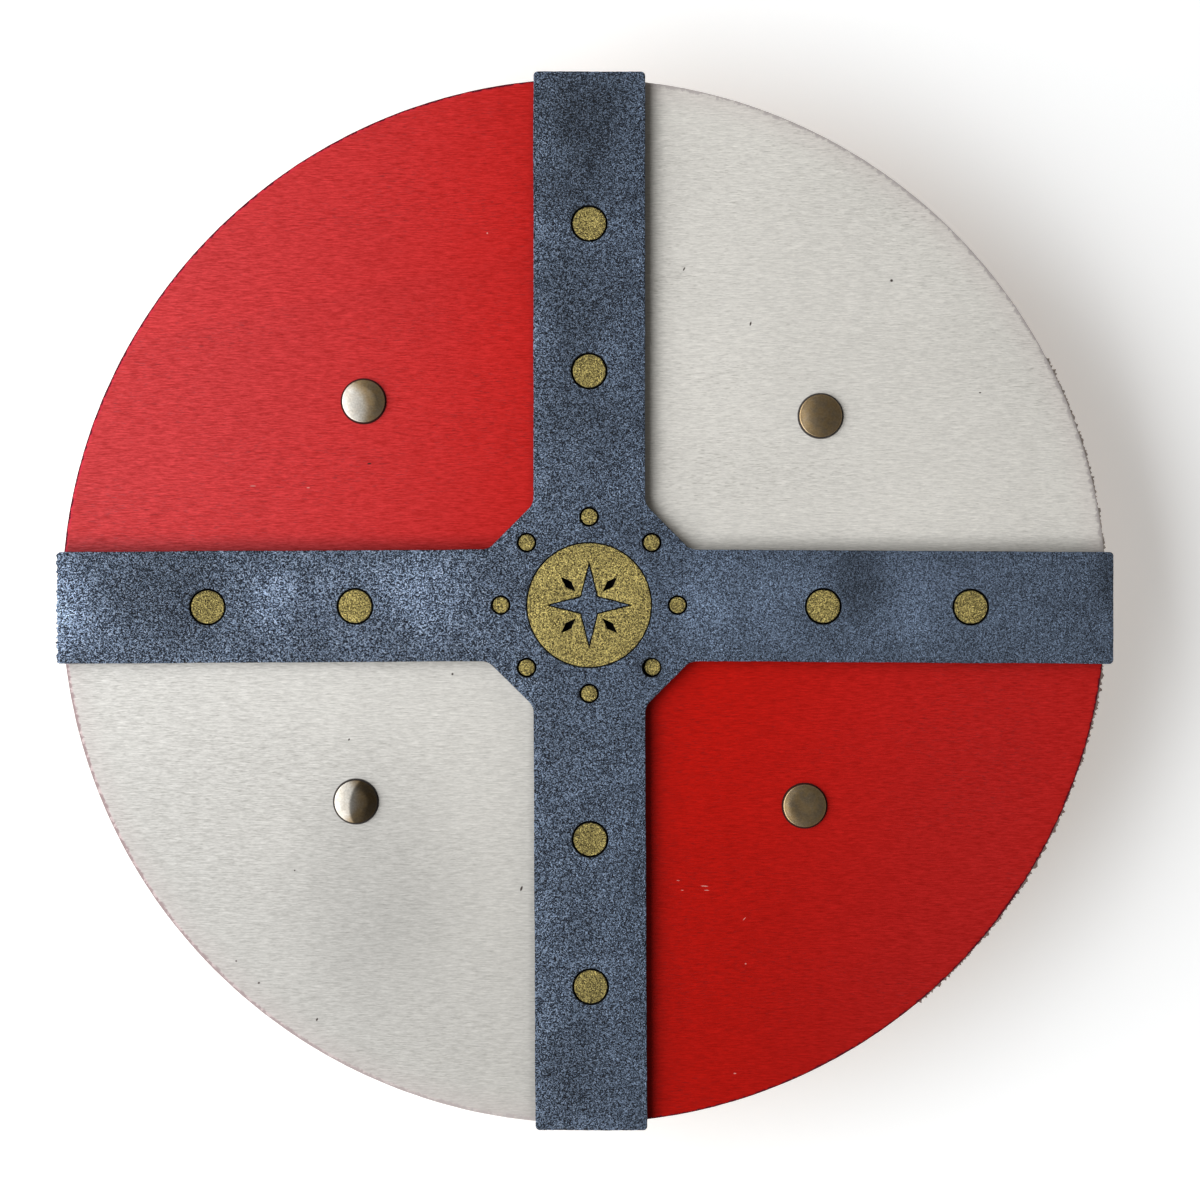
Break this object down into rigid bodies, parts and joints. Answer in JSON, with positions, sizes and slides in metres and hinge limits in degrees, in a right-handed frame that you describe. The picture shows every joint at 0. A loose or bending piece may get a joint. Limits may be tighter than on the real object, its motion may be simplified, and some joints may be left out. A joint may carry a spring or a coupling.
{
  "type": "toy round shield",
  "caption": "Flat round play shield of plywood painted in red and white quarters, with a slate cross let with gold discs, cap rivets and leather straps behind.",
  "frame": {"origin": "on the surface that the shield lies on, under the centre of its board", "axes": "+Z out of the shield's painted face, +X to the right and +Y to the top of the face"},
  "size_m": [0.3034, 0.3033, 0.0412],
  "materials": {
    "painted_plywood": "thin satin paint over fine horizontal grain, red upper left and lower right, off-white in the other two quarters, bare on the back and the edge",
    "slate_rubber": "firm rubber sheet with a finely speckled blue-grey metallic coat",
    "gold_rubber": "firm rubber sheet with a finely speckled olive-gold metallic coat",
    "antique_brass": "satin antique brass, browned",
    "strap_leather": "brown strap leather, smooth grain outside, burnished edges"
  },
  "bodies": {
    "root": {"board": "painted_plywood", "cross": "slate_rubber", "medallion": "gold_rubber", "medallion_star": "slate_rubber", "large_plug_right_inner": "gold_rubber", "large_plug_right_outer": "gold_rubber", "large_plug_top_inner": "gold_rubber", "large_plug_top_outer": "gold_rubber", "large_plug_left_inner": "gold_rubber", "large_plug_left_outer": "gold_rubber", "large_plug_bottom_inner": "gold_rubber", "large_plug_bottom_outer": "gold_rubber", "small_plug_1": "gold_rubber", "small_plug_2": "gold_rubber", "small_plug_3": "gold_rubber", "small_plug_4": "gold_rubber", "small_plug_5": "gold_rubber", "small_plug_6": "gold_rubber", "small_plug_7": "gold_rubber", "small_plug_8": "gold_rubber", "rivet_cap_upper_left": "antique_brass", "rivet_cap_lower_left": "antique_brass", "rivet_cap_upper_right": "antique_brass", "rivet_cap_lower_right": "antique_brass", "rivet_back_upper_left": "antique_brass", "rivet_back_lower_left": "antique_brass", "rivet_back_upper_right": "antique_brass", "rivet_back_lower_right": "antique_brass", "strap_left": "strap_leather", "strap_right": "strap_leather"}
  },
  "joints": []
}
